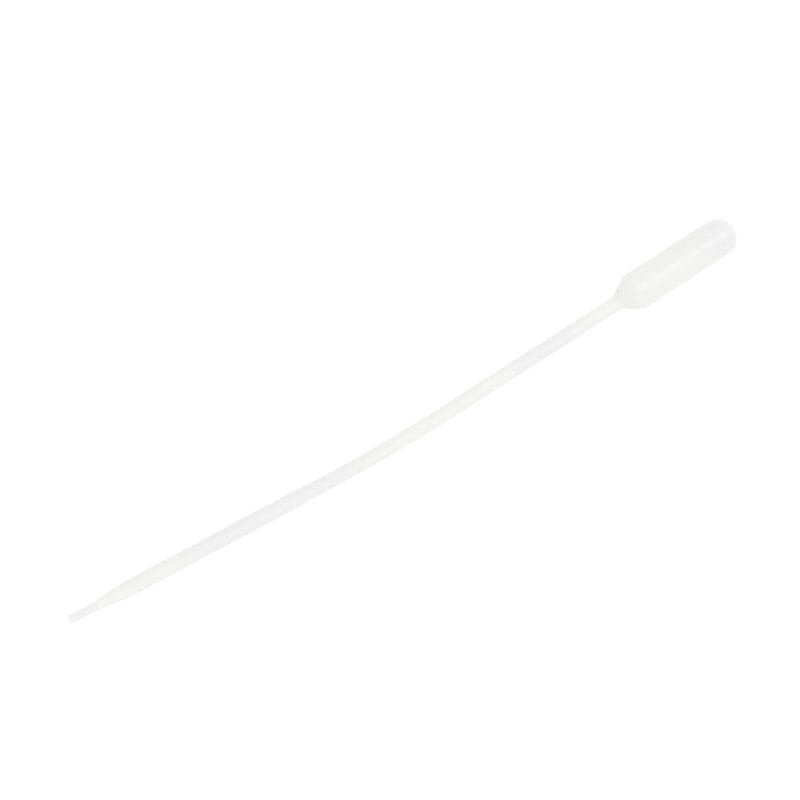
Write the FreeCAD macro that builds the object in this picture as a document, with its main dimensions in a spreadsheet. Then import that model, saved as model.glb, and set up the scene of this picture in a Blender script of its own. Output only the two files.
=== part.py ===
import FreeCAD, Part
import math
import os
import Sketcher

# A long transfer pipette, blow moulded in one piece from low-density polyethylene: an open drawn
# nozzle, a slim tube in two gauges with a slight set in it, and a squeeze bulb with a closed domed
# end. It is one hollow solid with true walls.
#
# Each section is drawn in a sketch that holds the tube's centreline on its horizontal axis, with x
# running from the nozzle towards the bulb, and is turned about that centreline. The finished tube
# lies as it rests on a table: on its heavier lower stem and on the shoulder of its bulb.
#
# Frame: +Z up from the table, +X along the lower stem from the nozzle towards the bulb, and the
# bulb leaning towards +Y. The origin is under the centre of the bounding box.

# Driving dimensions in millimetres and degrees. Lengths follow one another along the centreline.
SIZES = {
    # Nozzle.
    "nozzle_radius": 1.75,
    "nozzle_wall": 0.6,
    "nozzle_length": 11.4,
    "bore_blend": 8.0,
    "lip_round": 0.2,
    "bore_lip_round": 0.12,
    # Flare and taper between the nozzle and the lower stem.
    "flare_rise": 0.27,
    "flare_length": 0.8,
    "flare_blend": 0.6,
    "taper_length": 14.3,
    "taper_blend": 45.0,
    # Lower stem, its step down to the upper stem, and the wall of both.
    "stem_radius": 2.98,
    "lower_swell": 0.28,
    "lower_length": 72.5,
    "step_length": 9.0,
    "step_blend": 100.0,
    "lead_length": 2.0,
    "stem_wall": 0.65,
    # The set in the stem, one even arc, and the straight stem beyond it.
    "bend_angle": 5.2,
    "bend_length": 64.0,
    "upper_length": 72.9,
    # Neck and bulb. The knuckle is the round between the bulb's wall and its crown.
    "cone_angle": 34.6,
    "neck_blend": 4.0,
    "shoulder_blend": 4.0,
    "bulb_length": 53.1,
    "bulb_radius": 7.72,
    "bulb_draft": 0.27,
    "bulb_wall": 0.5,
    "knuckle_offset": 0.95,
    "crown_excess": 1.35,
    # Trimmed weld where the mould pinched the tube shut.
    "weld_height": 0.15,
    "weld_width": 0.8,
    "weld_top": 3.4,
    "weld_root": 5.2,
}

doc = FreeCAD.newDocument("transfer_pipette")
dims = doc.addObject("Spreadsheet::Sheet", "dims")
for row, (alias, size) in enumerate(SIZES.items(), start=1):
    dims.set(f"A{row}", alias)
    dims.set(f"B{row}", str(size))
    dims.setAlias(f"B{row}", alias)
doc.recompute()

body = doc.addObject("PartDesign::Body", "pipette")
body.Label = "pipette"

# Stations along the centreline and sizes worked out from the driving dimensions.
NOZZLE_END = "dims.nozzle_length"
FLARE_END = f"{NOZZLE_END} + dims.flare_length"
TAPER_END = f"{FLARE_END} + dims.taper_length"
STEP_START = f"{TAPER_END} + dims.lower_length"
STEP_END = f"{STEP_START} + dims.step_length"
BEND_START = f"{STEP_END} + dims.lead_length"
BEND_RADIUS = "dims.bend_length * 180 / (pi * dims.bend_angle)"
BEND_TURN = "dims.bend_angle * 1deg"
BORE_RADIUS = "dims.nozzle_radius - dims.nozzle_wall"
NOZZLE_MID_WALL = "dims.nozzle_radius - dims.nozzle_wall / 2"
LOWER_RADIUS = "dims.stem_radius + dims.lower_swell"
CONE_SLOPE = "tan(dims.cone_angle * 1deg)"
SHOULDER = f"dims.upper_length + (dims.bulb_radius - dims.stem_radius) / {CONE_SLOPE}"
BULB_END = "dims.upper_length + dims.bulb_length"
DOME_RADIUS = "dims.bulb_radius - dims.bulb_draft"
CONE_WALL = "dims.bulb_wall / cos(dims.cone_angle * 1deg)"
INNER_NECK = f"dims.upper_length + ({CONE_WALL} - dims.stem_wall) / {CONE_SLOPE}"
INNER_SHOULDER = f"{SHOULDER} + ({CONE_WALL} - dims.bulb_wall) / {CONE_SLOPE}"


def new_sketch(name, role):
    """An empty sketch of the body on one of its own origin planes."""
    plane = next(item for item in body.Origin.OriginFeatures if item.Role == role)
    sketch = body.newObject("Sketcher::SketchObject", name)
    sketch.AttachmentSupport = [(plane, "")]
    sketch.MapMode = "FlatFace"
    return sketch


def value_of(sketch, expression):
    """What an expression on the sheet comes to, as a plain number."""
    return float(sketch.evalExpression(expression))


def drive(sketch, name, expression, kind, *where):
    """Add a named dimension to the sketch and drive it from the sheet."""
    index = sketch.addConstraint(Sketcher.Constraint(kind, *where, value_of(sketch, expression)))
    sketch.renameConstraint(index, name)
    sketch.setExpression(f"Constraints.{name}", expression)


def link(sketch, kind, *where):
    """Add a constraint that has no size of its own."""
    sketch.addConstraint(Sketcher.Constraint(kind, *where))


def direction(centre, point):
    """Angle of the line from the centre to the point, in radians."""
    return math.atan2(point.y - centre.y, point.x - centre.x)


def fix_point(sketch, name, element, vertex, x, y):
    """Hold one point of the sketch at two expressions, x along the centreline and y across it."""
    if x == "0":
        link(sketch, "PointOnObject", element, vertex, -2)
    else:
        drive(sketch, f"{name}_x", x, "DistanceX", -1, 1, element, vertex)
    drive(sketch, f"{name}_y", y, "DistanceY", -1, 1, element, vertex)


def outline(sketch, side, corners, end_is_fixed=True):
    """Straight lines through named corners, with an arc tangent to both at each inner corner.

    A corner is a name, its x, its y and its rounding, all but the name expressions on the sheet.
    The first and the last are the ends of the outline. Returns the first line and the last.
    """
    points = [FreeCAD.Vector(value_of(sketch, x), value_of(sketch, y), 0) for _, x, y, _ in corners]
    rounds = [value_of(sketch, rounding or "0") for *_, rounding in corners]
    ways = [(b - a).normalize() for a, b in zip(points, points[1:])]
    inner = range(1, len(corners) - 1)
    cuts = {i: rounds[i] * math.tan(ways[i - 1].getAngle(ways[i]) / 2) for i in inner}
    lines = []
    for i, way in enumerate(ways):
        start = points[i] + way * cuts.get(i, 0.0)
        end = points[i + 1] - way * cuts.get(i + 1, 0.0)
        lines.append(sketch.addGeometry(Part.LineSegment(start, end)))
    for i in inner:
        name, x, y, rounding = corners[i]
        before, after = lines[i - 1], lines[i]
        turns_left = ways[i - 1].cross(ways[i]).z > 0
        inward = FreeCAD.Vector(-ways[i - 1].y, ways[i - 1].x, 0) * (1 if turns_left else -1)
        centre = sketch.getPoint(before, 2) + inward * rounds[i]
        meetings = sketch.getPoint(before, 2), sketch.getPoint(after, 1)
        limits = [direction(centre, point) for point in meetings]
        span = limits if turns_left else limits[::-1]
        circle = Part.Circle(centre, FreeCAD.Vector(0, 0, 1), rounds[i])
        arc = sketch.addGeometry(Part.ArcOfCircle(circle, *span))
        near, far = (1, 2) if turns_left else (2, 1)
        link(sketch, "Tangent", before, 2, arc, near)
        link(sketch, "Tangent", after, 1, arc, far)
        drive(sketch, f"{side}_{name}_round", rounding, "Radius", arc)
        corner = sketch.addGeometry(Part.Point(points[i]), True)
        link(sketch, "PointOnObject", corner, 1, before)
        link(sketch, "PointOnObject", corner, 1, after)
        fix_point(sketch, f"{side}_{name}", corner, 1, x, y)
    name, x, y, _ = corners[0]
    fix_point(sketch, f"{side}_{name}", lines[0], 1, x, y)
    if end_is_fixed:
        name, x, y, _ = corners[-1]
        fix_point(sketch, f"{side}_{name}", lines[-1], 2, x, y)
    return lines[0], lines[-1]


def join(sketch, element_a, vertex_a, element_b, vertex_b):
    """A straight line between two points of the sketch."""
    ends = sketch.getPoint(element_a, vertex_a), sketch.getPoint(element_b, vertex_b)
    line = sketch.addGeometry(Part.LineSegment(*ends))
    link(sketch, "Coincident", line, 1, element_a, vertex_a)
    link(sketch, "Coincident", line, 2, element_b, vertex_b)


def dome(sketch, side, wall_line, apex, radius, knuckle, crown):
    """Knuckle and crown arcs that carry a bulb's wall line round to the axis. Returns the crown."""
    crown_radius = value_of(sketch, crown)
    knuckle_radius = value_of(sketch, knuckle)
    offset = value_of(sketch, radius) - knuckle_radius
    crown_centre = FreeCAD.Vector(value_of(sketch, apex) - crown_radius, 0, 0)
    forward = math.sqrt((crown_radius - knuckle_radius) ** 2 - offset**2)
    knuckle_centre = crown_centre + FreeCAD.Vector(forward, offset, 0)
    meeting = direction(crown_centre, knuckle_centre)
    up = FreeCAD.Vector(0, 0, 1)
    knuckle_circle = Part.Circle(knuckle_centre, up, knuckle_radius)
    crown_circle = Part.Circle(crown_centre, up, crown_radius)
    knuckle_arc = sketch.addGeometry(Part.ArcOfCircle(knuckle_circle, meeting, math.pi / 2))
    crown_arc = sketch.addGeometry(Part.ArcOfCircle(crown_circle, 0, meeting))
    link(sketch, "Tangent", wall_line, 2, knuckle_arc, 2)
    link(sketch, "Tangent", knuckle_arc, 1, crown_arc, 2)
    link(sketch, "PointOnObject", crown_arc, 3, -1)
    link(sketch, "PointOnObject", crown_arc, 1, -1)
    drive(sketch, f"{side}_knuckle_round", knuckle, "Radius", knuckle_arc)
    drive(sketch, f"{side}_crown_round", crown, "Radius", crown_arc)
    drive(sketch, f"{side}_apex", apex, "DistanceX", -1, 1, crown_arc, 1)
    drive(sketch, f"{side}_dome_radius", radius, "DistanceY", -1, 1, wall_line, 2)
    return crown_arc


def revolve(name, sketch, axis):
    """Turn a sketch about one of its axes and add it to the body."""
    if sketch.solve() != 0 or not sketch.FullyConstrained:
        raise RuntimeError(f"sketch {sketch.Label} is not fully held")
    feature = body.newObject("PartDesign::Revolution", name)
    feature.Profile = sketch
    feature.ReferenceAxis = (sketch, [axis])
    feature.Refine = True
    return feature


def beyond_bend(sketch):
    """Move a sketch of the bend's plane to where the bend ends, turned to its heading."""
    turned = FreeCAD.Rotation(FreeCAD.Vector(0, 0, 1), dims.bend_angle)
    sketch.AttachmentOffset = FreeCAD.Placement(FreeCAD.Vector(), turned)
    sketch.setExpression("AttachmentOffset.Base.x", f"{BEND_START} + {BEND_RADIUS} * sin({BEND_TURN})")
    sketch.setExpression("AttachmentOffset.Base.y", f"{BEND_RADIUS} * (1 - cos({BEND_TURN}))")
    sketch.setExpression("AttachmentOffset.Rotation.Angle", BEND_TURN)


# Nozzle, taper, lower stem and the step down to the upper stem: one turned wall section.
section = new_sketch("lower_section", "XY_Plane")
outer = [
    ("end_face", "0", NOZZLE_MID_WALL, None),
    ("lip", "0", "dims.nozzle_radius", "dims.lip_round"),
    ("nozzle_root", NOZZLE_END, "dims.nozzle_radius", "dims.flare_blend"),
    ("flare_top", FLARE_END, "dims.nozzle_radius + dims.flare_rise", "dims.flare_blend"),
    ("taper_top", TAPER_END, LOWER_RADIUS, "dims.taper_blend"),
    ("step_start", STEP_START, LOWER_RADIUS, "dims.step_blend"),
    ("step_end", STEP_END, "dims.stem_radius", "dims.step_blend"),
    ("end", BEND_START, "dims.stem_radius", None),
]
inner = [
    ("end_face", "0", NOZZLE_MID_WALL, None),
    ("lip", "0", BORE_RADIUS, "dims.bore_lip_round"),
    ("bore_root", NOZZLE_END, BORE_RADIUS, "dims.bore_blend"),
    ("taper_top", TAPER_END, f"{LOWER_RADIUS} - dims.stem_wall", "dims.taper_blend"),
    ("step_start", STEP_START, f"{LOWER_RADIUS} - dims.stem_wall", "dims.step_blend"),
    ("step_end", STEP_END, "dims.stem_radius - dims.stem_wall", "dims.step_blend"),
    ("end", BEND_START, "dims.stem_radius - dims.stem_wall", None),
]
_, outer_end = outline(section, "outer", outer)
_, inner_end = outline(section, "inner", inner)
join(section, outer_end, 2, inner_end, 2)
lower_stem = revolve("lower_stem", section, "H_Axis")

# The set in the stem: the upper stem's ring carried round the centre of the bend.
ring = new_sketch("bend_section", "YZ_Plane")
ring.setExpression("AttachmentOffset.Base.z", BEND_START)
bend_radius = value_of(ring, BEND_RADIUS)
up = FreeCAD.Vector(0, 0, 1)
for side, radius in (("outer", "dims.stem_radius"), ("inner", "dims.stem_radius - dims.stem_wall")):
    circle = ring.addGeometry(Part.Circle(FreeCAD.Vector(), up, value_of(ring, radius)))
    link(ring, "Coincident", circle, 3, -1, 1)
    drive(ring, f"{side}_radius", radius, "Radius", circle)
pivot_foot = FreeCAD.Vector(bend_radius, 0, 0)
pivot = ring.addGeometry(Part.LineSegment(pivot_foot, pivot_foot + FreeCAD.Vector(0, 1, 0)), True)
link(ring, "Vertical", pivot)
link(ring, "PointOnObject", pivot, 1, -1)
drive(ring, "pivot_length", "dims.stem_radius", "DistanceY", pivot, 1, pivot, 2)
drive(ring, "bend_radius", BEND_RADIUS, "DistanceX", -1, 1, pivot, 1)
bend = revolve("bend", ring, "Axis0")
bend.setExpression("Angle", BEND_TURN)

# Upper stem, neck, squeeze bulb and its domed end: a second turned wall section past the bend.
section = new_sketch("upper_section", "XY_Plane")
beyond_bend(section)
apex = f"{BULB_END} - dims.weld_height"
knuckle = f"{DOME_RADIUS} - dims.knuckle_offset"
crown = f"{DOME_RADIUS} + dims.crown_excess"
forward = "sqrt((dims.crown_excess + dims.knuckle_offset)^2 - dims.knuckle_offset^2)"
dome_start = f"{apex} - ({crown}) + {forward}"
neck_inside = "dims.neck_blend + dims.bulb_wall"
shoulder_inside = "dims.shoulder_blend - dims.bulb_wall"
outer = [
    ("start", "0", "dims.stem_radius", None),
    ("neck", "dims.upper_length", "dims.stem_radius", "dims.neck_blend"),
    ("shoulder", SHOULDER, "dims.bulb_radius", "dims.shoulder_blend"),
    ("dome", dome_start, DOME_RADIUS, None),
]
inner = [
    ("start", "0", "dims.stem_radius - dims.stem_wall", None),
    ("neck", INNER_NECK, "dims.stem_radius - dims.stem_wall", neck_inside),
    ("shoulder", INNER_SHOULDER, "dims.bulb_radius - dims.bulb_wall", shoulder_inside),
    ("dome", dome_start, f"{DOME_RADIUS} - dims.bulb_wall", None),
]
outer_start, outer_wall = outline(section, "outer", outer, end_is_fixed=False)
inner_start, inner_wall = outline(section, "inner", inner, end_is_fixed=False)
outer_crown = dome(section, "outer", outer_wall, apex, DOME_RADIUS, knuckle, crown)
inner_crown = dome(
    section,
    "inner",
    inner_wall,
    f"{apex} - dims.bulb_wall",
    f"{DOME_RADIUS} - dims.bulb_wall",
    f"{knuckle} - dims.bulb_wall",
    f"{crown} - dims.bulb_wall",
)
join(section, outer_start, 1, inner_start, 1)
join(section, outer_crown, 1, inner_crown, 1)
revolve("upper_stem_and_bulb", section, "H_Axis")

# The pinch weld: a low flat-topped bar across the crown, in the plane of the bend. Its root goes a
# share of the way through the wall, and so stays clear of the cavity.
ROOT_SHARE = 0.9
section = new_sketch("weld_section", "XY_Plane")
beyond_bend(section)
weld_root = f"{BULB_END} - dims.weld_height - dims.bulb_wall * {ROOT_SHARE}"
bar = [
    (BULB_END, "dims.weld_top / 2"),
    (weld_root, "dims.weld_root / 2"),
    (weld_root, "-dims.weld_root / 2"),
    (BULB_END, "-dims.weld_top / 2"),
]
spots = [FreeCAD.Vector(value_of(section, x), value_of(section, y), 0) for x, y in bar]
sides = [section.addGeometry(Part.LineSegment(a, b)) for a, b in zip(spots, spots[1:] + spots[:1])]
for index, (side, (x, y)) in enumerate(zip(sides, bar)):
    link(section, "Coincident", sides[index - 1], 2, side, 1)
    fix_point(section, f"bar_{index}", side, 1, x, y)
weld = body.newObject("PartDesign::Pad", "pinch_weld")
weld.Profile = section
weld.setExpression("Length", "dims.weld_width")
weld.Midplane = True

doc.recompute()

# At rest the lower stem lies along its wall on the table, and the set is rolled up about it until
# the shoulder of the bulb comes down onto the table as well.
turn = math.radians(dims.bend_angle)
shoulder_start = value_of(section, f"{SHOULDER} + dims.shoulder_blend * tan(dims.cone_angle * 0.5deg)")
reach = bend_radius * math.tan(turn / 2) + shoulder_start
rise = dims.bulb_radius - value_of(section, LOWER_RADIUS)
roll = math.degrees(math.asin(min(1.0, rise / (reach * math.sin(turn)))))
rolled = FreeCAD.Rotation(FreeCAD.Vector(1, 0, 0), roll)
body.Placement = FreeCAD.Placement(FreeCAD.Vector(), rolled)
box = body.Shape.optimalBoundingBox(False, False)
foot = FreeCAD.Vector(box.Center.x, box.Center.y, box.ZMin)
body.Placement = FreeCAD.Placement(-foot, rolled)
doc.recompute()

failed = [item.Label for item in doc.Objects if {"Invalid", "Error"} & set(item.State)]
if failed:
    raise RuntimeError(f"these objects failed: {failed}")
if body.Shape.isNull() or not body.Shape.isValid() or len(body.Shape.Solids) != 1:
    raise RuntimeError("the pipette is not one valid solid")

centre_of_mass = body.Shape.Solids[0].CenterOfMass
print(f"roll {roll:.2f} deg, nozzle tip at {-foot.x:.3f} {-foot.y:.3f} {-foot.z:.3f} mm")
print(f"size {box.XLength:.2f} x {box.YLength:.2f} x {box.ZLength:.2f} mm")
print(f"volume {body.Shape.Volume:.1f} mm3, centre of mass {centre_of_mass}")

os.makedirs("parts", exist_ok=True)
body.Shape.exportStep("parts/pipette.step")
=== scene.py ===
import math

import bpy
import numpy as np
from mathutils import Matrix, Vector


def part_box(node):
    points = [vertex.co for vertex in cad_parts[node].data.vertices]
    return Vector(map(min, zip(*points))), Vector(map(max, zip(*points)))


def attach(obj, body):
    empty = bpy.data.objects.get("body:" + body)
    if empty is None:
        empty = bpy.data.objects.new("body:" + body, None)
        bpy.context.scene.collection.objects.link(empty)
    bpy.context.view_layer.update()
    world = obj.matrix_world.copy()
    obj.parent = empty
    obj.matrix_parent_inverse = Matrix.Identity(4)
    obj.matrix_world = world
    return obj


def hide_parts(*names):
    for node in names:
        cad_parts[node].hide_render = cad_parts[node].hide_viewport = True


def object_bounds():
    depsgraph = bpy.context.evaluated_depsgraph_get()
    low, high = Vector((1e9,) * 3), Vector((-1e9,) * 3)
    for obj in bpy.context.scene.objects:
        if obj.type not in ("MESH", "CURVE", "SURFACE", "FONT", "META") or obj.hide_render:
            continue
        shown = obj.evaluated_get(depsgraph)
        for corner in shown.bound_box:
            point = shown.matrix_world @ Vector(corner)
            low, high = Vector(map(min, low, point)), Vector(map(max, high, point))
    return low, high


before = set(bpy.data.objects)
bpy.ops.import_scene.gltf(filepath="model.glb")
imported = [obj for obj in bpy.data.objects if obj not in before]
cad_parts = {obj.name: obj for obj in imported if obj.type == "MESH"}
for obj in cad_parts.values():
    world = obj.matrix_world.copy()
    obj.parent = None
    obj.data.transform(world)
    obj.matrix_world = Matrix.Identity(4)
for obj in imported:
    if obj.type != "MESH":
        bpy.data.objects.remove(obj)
cad_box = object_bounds()

# ---------------------------------------------------------------------------------------------
# The pipette: one hollow piece of natural low-density polyethylene, blow moulded from a tube. An
# open drawn nozzle, a slim stem with a slight set in it and a squeeze bulb follow each other along
# one centreline; the bulb's domed end was pinched shut by the mould. Stations run from the nozzle.
# ---------------------------------------------------------------------------------------------
MM = 0.001
NOZZLE_RADIUS = 1.75 * MM
NOZZLE_WALL = 0.6 * MM
NOZZLE_LENGTH = 11.4 * MM
LIP_ROUND = 0.2 * MM
BORE_LIP_ROUND = 0.12 * MM
BORE_BLEND = 8.0 * MM
FLARE_RISE = 0.27 * MM
FLARE_LENGTH = 0.8 * MM
FLARE_BLEND = 0.6 * MM
TAPER_LENGTH = 14.3 * MM
TAPER_BLEND = 45.0 * MM
STEM_RADIUS = 2.98 * MM
LOWER_SWELL = 0.28 * MM
LOWER_LENGTH = 72.5 * MM
STEP_LENGTH = 9.0 * MM
STEP_BLEND = 100.0 * MM
LEAD_LENGTH = 2.0 * MM
STEM_WALL = 0.65 * MM
BEND_ANGLE = math.radians(5.2)
BEND_LENGTH = 64.0 * MM
UPPER_LENGTH = 72.9 * MM
CONE_ANGLE = math.radians(34.6)
NECK_BLEND = 4.0 * MM
SHOULDER_BLEND = 4.0 * MM
BULB_LENGTH = 53.1 * MM
BULB_RADIUS = 7.72 * MM
BULB_DRAFT = 0.27 * MM
BULB_WALL = 0.5 * MM
KNUCKLE_OFFSET = 0.95 * MM
CROWN_EXCESS = 1.35 * MM
WELD_HEIGHT = 0.15 * MM
WELD_WIDTH = 0.8 * MM
WELD_TOP = 3.4 * MM
WELD_ROOT = 5.2 * MM
WELD_EDGE = 0.12 * MM
SEAM_HEIGHT = 0.04 * MM
SEAM_WIDTH = 0.25 * MM
SEAM_FADE = 3.0 * MM

LOWER_RADIUS = STEM_RADIUS + LOWER_SWELL
FLARE_END = NOZZLE_LENGTH + FLARE_LENGTH
TAPER_END = FLARE_END + TAPER_LENGTH
STEP_START = TAPER_END + LOWER_LENGTH
STEP_END = STEP_START + STEP_LENGTH
BEND_START = STEP_END + LEAD_LENGTH
BEND_END = BEND_START + BEND_LENGTH
NECK = BEND_END + UPPER_LENGTH
LENGTH = NECK + BULB_LENGTH
SHOULDER = NECK + (BULB_RADIUS - STEM_RADIUS) / math.tan(CONE_ANGLE)
APEX = LENGTH - WELD_HEIGHT
DOME_RADIUS = BULB_RADIUS - BULB_DRAFT

SEGMENTS = 192
OUTER_STEP = 1.6 * MM
INNER_STEP = 3.2 * MM
ARC_STEP = math.radians(6.0)
ARC_LEAST = 4
DOME_POINTS = 24


def rounded_path(corners, rounds, spacing):
    """Points along straight lines from corner to corner, with an arc in place of each inner corner.

    An arc of radius r is tangent to both lines at r * tan(half the turn) from the corner, and its
    centre lies r to the side that the path turns to. Straight stretches get a point per spacing.
    """
    corners = np.asarray(corners)
    ways = np.diff(corners, axis=0)
    ways /= np.linalg.norm(ways, axis=1)[:, None]
    stretches = [corners[:1]]
    for corner, before, after, radius in zip(corners[1:-1], ways[:-1], ways[1:], rounds):
        turn = math.atan2(before[0] * after[1] - before[1] * after[0], before @ after)
        sense = math.copysign(1.0, turn)
        side = sense * np.array([-before[1], before[0]])
        centre = corner - before * radius * math.tan(abs(turn) / 2) + side * radius
        count = max(ARC_LEAST, math.ceil(abs(turn) / ARC_STEP))
        swing = np.linspace(0.0, abs(turn), count + 1)[:, None]
        stretches.append(centre + radius * (np.sin(swing) * before - np.cos(swing) * side))
    stretches.append(corners[-1:])
    path = [stretches[0]]
    for last, stretch in zip(stretches, stretches[1:]):
        gap = stretch[0] - last[-1]
        count = max(1, math.ceil(np.linalg.norm(gap) / spacing))
        share = np.linspace(0.0, 1.0, count + 1)[1:-1, None]
        path += [last[-1] + share * gap, stretch]
    return np.concatenate(path)


def dome_path(end, wall):
    """The domed end's half section, at a depth of wall under the outside and ending at end.

    A knuckle arc leaves the bulb's side, square to the axis, and a wider crown arc on the axis meets
    it where both have one tangent: on the line through the two centres.
    """
    knuckle = DOME_RADIUS - KNUCKLE_OFFSET - wall
    crown = DOME_RADIUS + CROWN_EXCESS - wall
    between = crown - knuckle
    crown_centre = end - crown
    knuckle_centre = crown_centre + math.sqrt(between**2 - KNUCKLE_OFFSET**2)
    meeting = math.asin(KNUCKLE_OFFSET / between)
    a = np.linspace(math.pi / 2, meeting, DOME_POINTS)
    b = np.linspace(meeting, 0.0, DOME_POINTS)[1:]
    knuckle_arc = np.stack([knuckle_centre + knuckle * np.cos(a), KNUCKLE_OFFSET + knuckle * np.sin(a)], 1)
    crown_arc = np.stack([crown_centre + crown * np.cos(b), crown * np.sin(b)], 1)
    return np.concatenate([knuckle_arc, crown_arc])


# Half section of the outside, as station and radius, from the nozzle's end face to the dome.
mid_wall = NOZZLE_RADIUS - NOZZLE_WALL / 2
outer_dome = dome_path(APEX, 0.0)
outer = rounded_path(
    [
        (0.0, mid_wall),
        (0.0, NOZZLE_RADIUS),
        (NOZZLE_LENGTH, NOZZLE_RADIUS),
        (FLARE_END, NOZZLE_RADIUS + FLARE_RISE),
        (TAPER_END, LOWER_RADIUS),
        (STEP_START, LOWER_RADIUS),
        (STEP_END, STEM_RADIUS),
        (NECK, STEM_RADIUS),
        (SHOULDER, BULB_RADIUS),
        outer_dome[0],
    ],
    [
        LIP_ROUND,
        FLARE_BLEND,
        FLARE_BLEND,
        TAPER_BLEND,
        STEP_BLEND,
        STEP_BLEND,
        NECK_BLEND,
        SHOULDER_BLEND,
    ],
    OUTER_STEP,
)
outer = np.concatenate([outer, outer_dome[1:]])

# Half section of the inside, a wall's thickness in from it, from the same end face to the dome.
bore = NOZZLE_RADIUS - NOZZLE_WALL
cone_wall = BULB_WALL / math.cos(CONE_ANGLE)
inner_dome = dome_path(APEX - BULB_WALL, BULB_WALL)
inner = rounded_path(
    [
        (0.0, mid_wall),
        (0.0, bore),
        (NOZZLE_LENGTH, bore),
        (TAPER_END, LOWER_RADIUS - STEM_WALL),
        (STEP_START, LOWER_RADIUS - STEM_WALL),
        (STEP_END, STEM_RADIUS - STEM_WALL),
        (NECK + (cone_wall - STEM_WALL) / math.tan(CONE_ANGLE), STEM_RADIUS - STEM_WALL),
        (SHOULDER + (cone_wall - BULB_WALL) / math.tan(CONE_ANGLE), BULB_RADIUS - BULB_WALL),
        inner_dome[0],
    ],
    [
        BORE_LIP_ROUND,
        BORE_BLEND,
        TAPER_BLEND,
        STEP_BLEND,
        STEP_BLEND,
        NECK_BLEND + BULB_WALL,
        SHOULDER_BLEND - BULB_WALL,
    ],
    INNER_STEP,
)
inner = np.concatenate([inner, inner_dome[1:]])

# One closed section: from the outer apex back to the nozzle, and up the inside to the inner apex.
section = np.concatenate([outer[::-1], inner[1:]])
angles = np.linspace(0.0, 2 * math.pi, SEGMENTS, endpoint=False)
station, angle = np.meshgrid(section[:, 0], angles, indexing="ij")
radius = np.repeat(section[:, 1:], SEGMENTS, axis=1)
outside = np.arange(len(section))[:, None] < len(outer)

# The mould's two halves met in the plane of the bend, and left a fine raised line down both sides.
# The line's height falls off from that plane as a bell curve, and to nothing at either end.
from_plane = radius * np.abs(np.sin(angle))
seam = SEAM_HEIGHT * np.exp(-((2 * from_plane / SEAM_WIDTH) ** 2))
seam = seam * np.clip(station / SEAM_FADE, 0.0, 1.0) * np.clip(radius / SEAM_FADE, 0.0, 1.0)
radius = radius + np.where(outside, seam, 0.0)

# The pinch weld is a low flat-topped bar across the apex, in line with the seam, with sloped ends.
# Where the bar is, the dome's skin is lifted along the axis to the bar's top.
from_axis = np.abs(radius * np.cos(angle))
from_plane = radius * np.abs(np.sin(angle))
slope = np.clip((WELD_ROOT / 2 - from_axis) / (WELD_ROOT / 2 - WELD_TOP / 2), 0.0, 1.0)
flank = np.clip((WELD_WIDTH / 2 - from_plane) / WELD_EDGE + 0.5, 0.0, 1.0)
bar = np.sqrt(slope) * flank**2 * (3 - 2 * flank)
at_crown = outside & (station > APEX - DOME_RADIUS / 2)
station = np.where(at_crown, station + (LENGTH - station) * bar, station)


def carried(station, radius, angle):
    """Points at a radius and an angle round the bent centreline, before the pipette is laid down.

    The centreline runs straight along x, round one arc in the x-y plane, then straight again. The
    angle is measured from the side that it bends towards.
    """
    curve = BEND_LENGTH / BEND_ANGLE
    turn = np.clip(station - BEND_START, 0.0, BEND_LENGTH) / curve
    beyond = np.maximum(station - BEND_END, 0.0)
    x = np.minimum(station, BEND_START) + curve * np.sin(turn) + beyond * np.cos(turn)
    y = curve * (1 - np.cos(turn)) + beyond * np.sin(turn)
    across = radius * np.cos(angle)
    return np.stack([x - across * np.sin(turn), y + across * np.cos(turn), radius * np.sin(angle)], -1)


def laid_down(points):
    """Roll the pipette about its lower stem until its bulb meets the table, then set it in place.

    Beyond the bend the centreline has left the lower stem's line by its reach times the sine of the
    bend, and the roll lifts it by the amount that the bulb's radius is larger than the stem's.
    """
    straight_bulb = SHOULDER - BEND_END + SHOULDER_BLEND * math.tan(CONE_ANGLE / 2)
    reach = BEND_LENGTH / BEND_ANGLE * math.tan(BEND_ANGLE / 2) + straight_bulb
    roll = math.asin((BULB_RADIUS - LOWER_RADIUS) / (reach * math.sin(BEND_ANGLE)))
    x, y, z = np.moveaxis(points, -1, 0)
    rolled = [x, y * math.cos(roll) - z * math.sin(roll), y * math.sin(roll) + z * math.cos(roll)]
    corner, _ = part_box("pipette")
    return np.stack(rolled, -1) + (corner.x, corner.y + LOWER_RADIUS, corner.z + LOWER_RADIUS)


def joined(rings):
    """All points of the rings in one list, with the first and the last ring closed to one point."""
    return np.concatenate([rings[0, :1], rings[1:-1].reshape(-1, 3), rings[-1, :1]])


points = joined(laid_down(carried(station, radius, angle)))

# Quads join each ring of the section to the next one. Both ends of the section lie on the axis, so
# there a fan of triangles closes the ring to the one point.
spoke = np.arange(SEGMENTS)
after = np.roll(spoke, -1)
first = 1 + SEGMENTS * np.arange(len(section) - 3)[:, None]
quads = np.stack([first + spoke, first + SEGMENTS + spoke, first + SEGMENTS + after, first + after], -1)
last = int(first[-1, 0]) + SEGMENTS
outer_cap = np.stack([np.zeros_like(spoke), 1 + spoke, 1 + after], -1)
inner_cap = np.stack([np.full_like(spoke, len(points) - 1), last + after, last + spoke], -1)
faces = quads.reshape(-1, 4).tolist() + outer_cap.tolist() + inner_cap.tolist()
mesh = bpy.data.meshes.new("pipette_shell")
mesh.from_pydata(points.tolist(), [], faces)
mesh.polygons.foreach_set("use_smooth", np.ones(len(mesh.polygons), bool))

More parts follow.
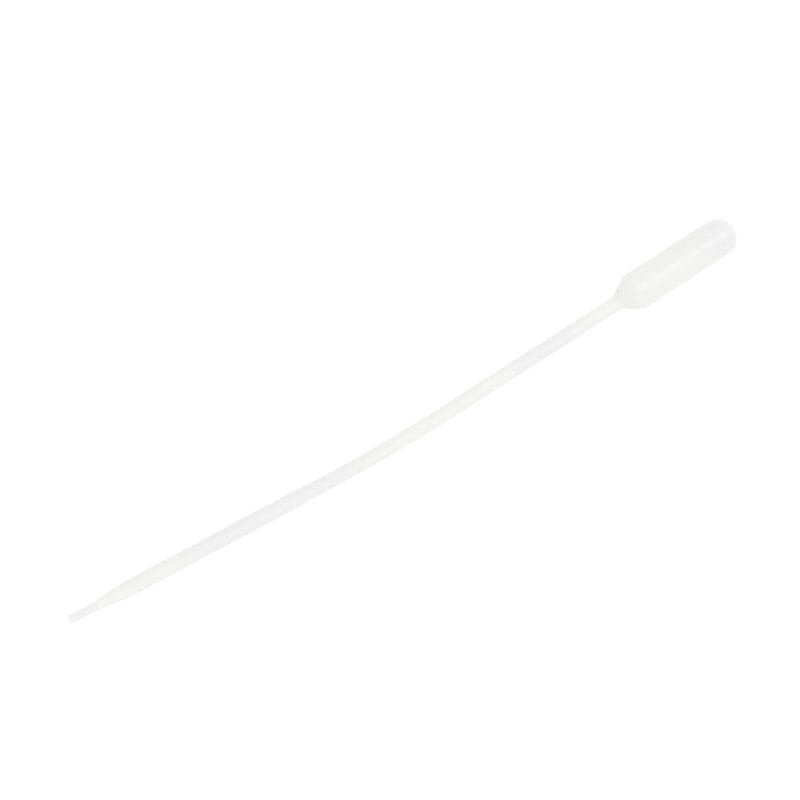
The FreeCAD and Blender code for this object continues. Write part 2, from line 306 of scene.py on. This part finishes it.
# Where each point was on the straight tube: its station and its place across. The plastic's texture
# follows these, so that it runs round the bend with the tube.
straight = np.stack([station, radius * np.cos(angle), radius * np.sin(angle)], -1)
drawn = mesh.attributes.new("drawn", "FLOAT_VECTOR", "POINT")
drawn.data.foreach_set("vector", joined(straight).ravel())
pipette = bpy.data.objects.new("pipette_shell", mesh)
bpy.context.scene.collection.objects.link(pipette)

# Natural polyethylene: milky white, letting a little light through, with a soft gloss. Its colour
# drifts between neutral and a faint ivory, and fine drawn streaks run lengthwise. The bulb, blown
# against the mould, is glossier than the stem, with a faint ripple where it starts at the shoulder.
NEUTRAL = (0.931, 0.93, 0.93, 1.0)
IVORY = (0.971, 0.97, 0.942, 1.0)
NEUTRAL_BELOW = 0.4
IVORY_ABOVE = 0.6
NOZZLE_SHARE = 0.65
DRIFT_SHIFT = (5.492, 1.48, 0.0)
DRIFT_SCALE = 18.0
STREAK_SCALE = 1400.0
STREAK_STRETCH = (0.03, 1.0, 1.0)
STREAK_DEPTH = 0.004 * MM
STREAK_ROUGHNESS = 0.06
GRAIN_SCALE = 3500.0
GRAIN_DEPTH = 0.01 * MM
RIPPLE_SCALE = 600.0
RIPPLE_DEPTH = 0.15 * MM
RIPPLE_MIDDLE = SHOULDER + 2.0 * MM
RIPPLE_REACH = 12.0 * MM
STEM_ROUGHNESS = 0.2
BULB_ROUGHNESS = 0.12
REFRACTION = 1.51
LIGHT_SHARE = 0.25
LIGHT_REACH = 1.0 * MM

plastic = bpy.data.materials.new("natural_polyethylene")
plastic.use_nodes = True
nodes, links = plastic.node_tree.nodes, plastic.node_tree.links


def add(kind, **values):
    """A new node of the plastic's own tree, with the named input sockets set."""
    node = nodes.new("ShaderNode" + kind)
    for name, value in values.items():
        node.inputs[name.replace("_", " ")].default_value = value
    return node


def calculated(operation, first, second):
    """The result of a sum or product of two values, each a socket or a number."""
    node = nodes.new("ShaderNodeMath")
    node.operation = operation
    for value, entry in zip((first, second), node.inputs):
        if isinstance(value, float):
            entry.default_value = value
        else:
            links.new(value, entry)
    return node.outputs[0]


# Four noises on the straight tube, each with so many waves to the metre. The drift's shift picks
# where the colours change, and the streaks are stretched along the tube.
along = add("Attribute")
along.attribute_name = "drawn"
place = along.outputs["Vector"]
station_of = add("SeparateXYZ")
shifted = add("Mapping", Location=DRIFT_SHIFT)
lengthwise = add("Mapping", Scale=STREAK_STRETCH)
drift = add("TexNoise", Scale=DRIFT_SCALE, Detail=2.0)
streaks = add("TexNoise", Scale=STREAK_SCALE, Detail=2.0)
grain = add("TexNoise", Scale=GRAIN_SCALE, Detail=2.0)
ripple = add("TexNoise", Scale=RIPPLE_SCALE, Detail=1.0)
for entry in (station_of, shifted, lengthwise, grain, ripple):
    links.new(place, entry.inputs["Vector"])
links.new(shifted.outputs[0], drift.inputs["Vector"])
links.new(lengthwise.outputs[0], streaks.inputs["Vector"])

# The nozzle was drawn out clearer than the rest, so the drift's ivory comes in along it.
coming_in = add("MapRange", From_Min=NOZZLE_LENGTH / 2, From_Max=FLARE_END, To_Min=NOZZLE_SHARE, To_Max=1.0)
links.new(station_of.outputs["X"], coming_in.inputs["Value"])
tint = calculated("MULTIPLY", drift.outputs["Fac"], coming_in.outputs["Result"])
milkiness = add("ValToRGB")
neutral, ivory = milkiness.color_ramp.elements
neutral.position, ivory.position = NEUTRAL_BELOW, IVORY_ABOVE
neutral.color, ivory.color = NEUTRAL, IVORY
links.new(tint, milkiness.inputs["Fac"])

# The ripple is deepest just past the bulb's shoulder, and fades out over its reach to either side.
along_reach = 1 / RIPPLE_REACH
around = add("Mapping", Location=(-RIPPLE_MIDDLE * along_reach, 0.0, 0.0), Scale=(along_reach, 0.0, 0.0))
fade = add("TexGradient")
fade.gradient_type = "SPHERICAL"
relief = add("Bump", Distance=1.0)
links.new(place, around.inputs["Vector"])
links.new(around.outputs[0], fade.inputs["Vector"])
grained = calculated("MULTIPLY", grain.outputs["Fac"], GRAIN_DEPTH)
streaked = calculated("MULTIPLY", streaks.outputs["Fac"], STREAK_DEPTH)
rippled = calculated("MULTIPLY", ripple.outputs["Fac"], fade.outputs["Fac"])
rippled = calculated("MULTIPLY", rippled, RIPPLE_DEPTH)
height = calculated("ADD", calculated("ADD", grained, streaked), rippled)
links.new(height, relief.inputs["Height"])

# The roughness changes from the stem's to the bulb's over the cone, and the streaks add a little.
gloss = add("MapRange", From_Min=NECK, From_Max=SHOULDER, To_Min=STEM_ROUGHNESS, To_Max=BULB_ROUGHNESS)
links.new(station_of.outputs["X"], gloss.inputs["Value"])
dulled = calculated("MULTIPLY", streaks.outputs["Fac"], STREAK_ROUGHNESS)
roughness = calculated("ADD", gloss.outputs["Result"], dulled)

# A share of the light enters the plastic and goes as far in every colour.
surface = nodes["Principled BSDF"]
surface.inputs["IOR"].default_value = REFRACTION
surface.inputs["Subsurface Weight"].default_value = LIGHT_SHARE
surface.inputs["Subsurface Radius"].default_value = (1.0, 1.0, 1.0)
surface.inputs["Subsurface Scale"].default_value = LIGHT_REACH
links.new(milkiness.outputs[0], surface.inputs["Base Color"])
links.new(roughness, surface.inputs["Roughness"])
links.new(relief.outputs[0], surface.inputs["Normal"])
mesh.materials.append(plastic)

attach(pipette, "root")
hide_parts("pipette")

# ---------------------------------------------------------------------------------------------
# The table: a plain white sheet. It shows as white, and keeps the pipette's soft contact shadow.
# ---------------------------------------------------------------------------------------------
TABLE_SIDE = 6.0
TABLE_TOP = cad_box[0].z
TABLE_COLOUR = (0.89, 0.89, 0.89, 1.0)
TABLE_GLOW = 0.29
half = TABLE_SIDE / 2
corners = [(x * half, y * half, TABLE_TOP) for x, y in ((-1, -1), (1, -1), (1, 1), (-1, 1))]
table_mesh = bpy.data.meshes.new("table")
table_mesh.from_pydata(corners, [], [(0, 1, 2, 3)])
table = bpy.data.objects.new("table", table_mesh)
bpy.context.scene.collection.objects.link(table)


def glow_to_the_eye(tree, least, extra, glow):
    """Give an emission the strength least, plus extra where it is seen.

    It is seen by camera rays, by glossy rays and by transmission rays, and one such ray counts once.
    """
    path = tree.nodes.new("ShaderNodeLightPath")
    seen = path.outputs["Is Camera Ray"]
    for kind in ("Is Glossy Ray", "Is Transmission Ray"):
        either = tree.nodes.new("ShaderNodeMath")
        either.operation = "MAXIMUM"
        tree.links.new(seen, either.inputs[0])
        tree.links.new(path.outputs[kind], either.inputs[1])
        seen = either.outputs[0]
    strength = tree.nodes.new("ShaderNodeMath")
    strength.operation = "MULTIPLY_ADD"
    strength.inputs[1].default_value = extra
    strength.inputs[2].default_value = least
    tree.links.new(seen, strength.inputs[0])
    tree.links.new(strength.outputs[0], glow.inputs["Strength"])


white = bpy.data.materials.new("white_table")
white.use_nodes = True
white.cycles.emission_sampling = "NONE"
nodes, links = white.node_tree.nodes, white.node_tree.links
nodes.clear()
output = nodes.new("ShaderNodeOutputMaterial")
matt = nodes.new("ShaderNodeBsdfDiffuse")
matt.inputs["Color"].default_value = TABLE_COLOUR
glow = nodes.new("ShaderNodeEmission")
both = nodes.new("ShaderNodeAddShader")
links.new(matt.outputs[0], both.inputs[0])
links.new(glow.outputs[0], both.inputs[1])
links.new(both.outputs[0], output.inputs["Surface"])
glow_to_the_eye(white.node_tree, 0.0, TABLE_GLOW, glow)
table_mesh.materials.append(white)

# ---------------------------------------------------------------------------------------------
# The studio light: an even white room, a softbox that reaches from above the bulb to well past it
# and draws the highlight down its length, and a weak softbox low on the near side.
# ---------------------------------------------------------------------------------------------
ROOM_LIGHT = 0.869
world = bpy.data.worlds.new("studio")
bpy.context.scene.world = world
world.use_nodes = True
room = world.node_tree.nodes["Background"]
room.inputs["Color"].default_value = (1.0, 1.0, 1.0, 1.0)
glow_to_the_eye(world.node_tree, ROOM_LIGHT, 1.0 - ROOM_LIGHT, room)


def softbox(name, place, width, depth, watts):
    """A rectangular lamp at a place above the table, facing the pipette's middle."""
    light = bpy.data.lights.new(name, "AREA")
    light.shape = "RECTANGLE"
    light.size = width
    light.size_y = depth
    light.energy = watts
    lamp = bpy.data.objects.new(name, light)
    lamp.location = place
    lamp.rotation_euler = Vector(place).to_track_quat("Z", "Y").to_euler()
    bpy.context.scene.collection.objects.link(lamp)


softbox("overhead_softbox", place=(0.47, 0.05, 0.9), width=0.56, depth=0.82, watts=1.16)
softbox("near_softbox", place=(-0.7, -0.8, 0.5), width=0.8, depth=0.6, watts=0.6)

# ---------------------------------------------------------------------------------------------
# The camera looks straight down. It is turned so that the pipette lies across the view, from the
# nozzle at lower left to the bulb at upper right.
# ---------------------------------------------------------------------------------------------
CAMERA_PLACE = (0.00433, 0.00676, 0.8694)
CAMERA_TURN = math.radians(-28.1)
CAMERA_LENS = 100.0
CAMERA_SENSOR = 36.0
lens = bpy.data.cameras.new("camera")
lens.lens = CAMERA_LENS
lens.sensor_width = CAMERA_SENSOR
camera = bpy.data.objects.new("camera", lens)
camera.location = CAMERA_PLACE
camera.rotation_euler = (0.0, 0.0, CAMERA_TURN)
bpy.context.scene.collection.objects.link(camera)
bpy.context.scene.camera = camera
bpy.context.scene.view_settings.view_transform = "Standard"
